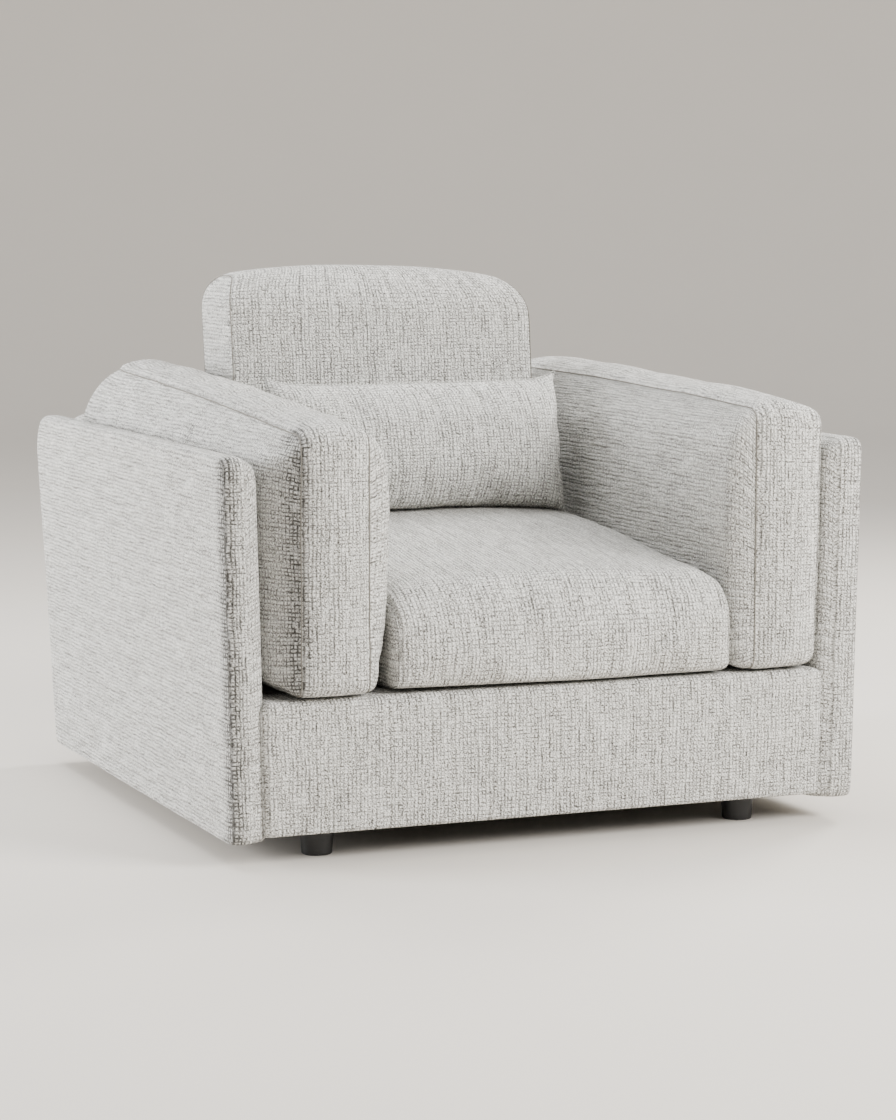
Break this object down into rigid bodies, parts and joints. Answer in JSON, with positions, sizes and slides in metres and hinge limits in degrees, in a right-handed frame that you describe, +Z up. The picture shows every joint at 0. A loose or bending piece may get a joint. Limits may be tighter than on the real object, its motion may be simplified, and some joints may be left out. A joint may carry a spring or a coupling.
{
  "type": "upholstered armchair",
  "caption": "Low upholstered armchair: padded side and back panels on short round feet, with loose seat, arm, back and lumbar cushions.",
  "frame": {"origin": "on the floor, under the middle of the overall box", "axes": "+Z up; the sitter faces -Y, so the front is at -Y; +X is at the right of a person looking at the front"},
  "size_m": [0.9996, 0.99, 0.825],
  "materials": {
    "fabric": "chunky woven upholstery, light warm grey",
    "foam": "open-cell upholstery foam",
    "wadding": "deck padding under lining cloth",
    "timber": "sawn softwood",
    "hardboard": "smooth hardboard",
    "steel": "zinc plated",
    "foot_plastic": "black satin",
    "dust_cloth": "black non-woven cloth"
  },
  "bodies": {
    "frame": {"foot_front_left": "foot_plastic", "foot_front_right": "foot_plastic", "foot_rear_left": "foot_plastic", "foot_rear_right": "foot_plastic", "foot_bolt_front_left": "steel", "foot_bolt_front_right": "steel", "foot_bolt_rear_left": "steel", "foot_bolt_rear_right": "steel", "corner_block_front_left": "timber", "corner_block_front_right": "timber", "corner_block_rear_left": "timber", "corner_block_rear_right": "timber", "front_rail": "timber", "rear_rail": "timber", "side_rail_left": "timber", "side_rail_right": "timber", "centre_rail": "timber", "seat_spring_1": "steel", "seat_spring_2": "steel", "seat_spring_3": "steel", "seat_spring_4": "steel", "seat_spring_5": "steel", "deck_pad": "wadding", "dust_cover": "dust_cloth", "front_cover": "fabric", "arm_front_post_left": "timber", "arm_rear_post_left": "timber", "arm_top_rail_left": "timber", "arm_bottom_rail_left": "timber", "arm_board_left": "hardboard", "arm_cover_left": "fabric", "arm_bolt_front_left": "steel", "arm_bolt_rear_left": "steel", "arm_front_post_right": "timber", "arm_rear_post_right": "timber", "arm_top_rail_right": "timber", "arm_bottom_rail_right": "timber", "arm_board_right": "hardboard", "arm_cover_right": "fabric", "arm_bolt_front_right": "steel", "arm_bolt_rear_right": "steel", "back_post_left": "timber", "back_post_right": "timber", "back_top_rail": "timber", "back_bottom_rail": "timber", "back_board": "hardboard", "back_panel_cover": "fabric"},
    "seat_cushion": {"seat_cushion_cover": "fabric", "seat_cushion_core": "foam"},
    "lumbar_cushion": {"lumbar_cushion_cover": "fabric", "lumbar_cushion_core": "foam"},
    "back_cushion": {"back_cushion_cover": "fabric", "back_cushion_core": "foam"},
    "back_bolster": {"back_bolster_cover": "fabric", "back_bolster_core": "foam"},
    "arm_cushion_left": {"arm_cushion_left_cover": "fabric", "arm_cushion_left_core": "foam"},
    "arm_cushion_right": {"arm_cushion_right_cover": "fabric", "arm_cushion_right_core": "foam"}
  },
  "joints": [
    {"name": "seat_cushion_lift", "type": "slide", "parent": "frame", "child": "seat_cushion", "axis": [0, 0, 1], "range_m": [0, 0.43]},
    {"name": "lumbar_cushion_lift", "type": "slide", "parent": "seat_cushion", "child": "lumbar_cushion", "axis": [0, 0.1191, 0.9929], "range_m": [0, 0.25]},
    {"name": "back_cushion_lift", "type": "slide", "parent": "seat_cushion", "child": "back_cushion", "axis": [0, 0.1191, 0.9929], "range_m": [0, 0.25]},
    {"name": "back_bolster_lift", "type": "slide", "parent": "frame", "child": "back_bolster", "axis": [0, 0.1191, 0.9929], "range_m": [0, 0.43]},
    {"name": "arm_cushion_left_lift", "type": "slide", "parent": "frame", "child": "arm_cushion_left", "axis": [0, 0, 1], "range_m": [0, 0.36]},
    {"name": "arm_cushion_right_lift", "type": "slide", "parent": "frame", "child": "arm_cushion_right", "axis": [0, 0, 1], "range_m": [0, 0.36]}
  ]
}
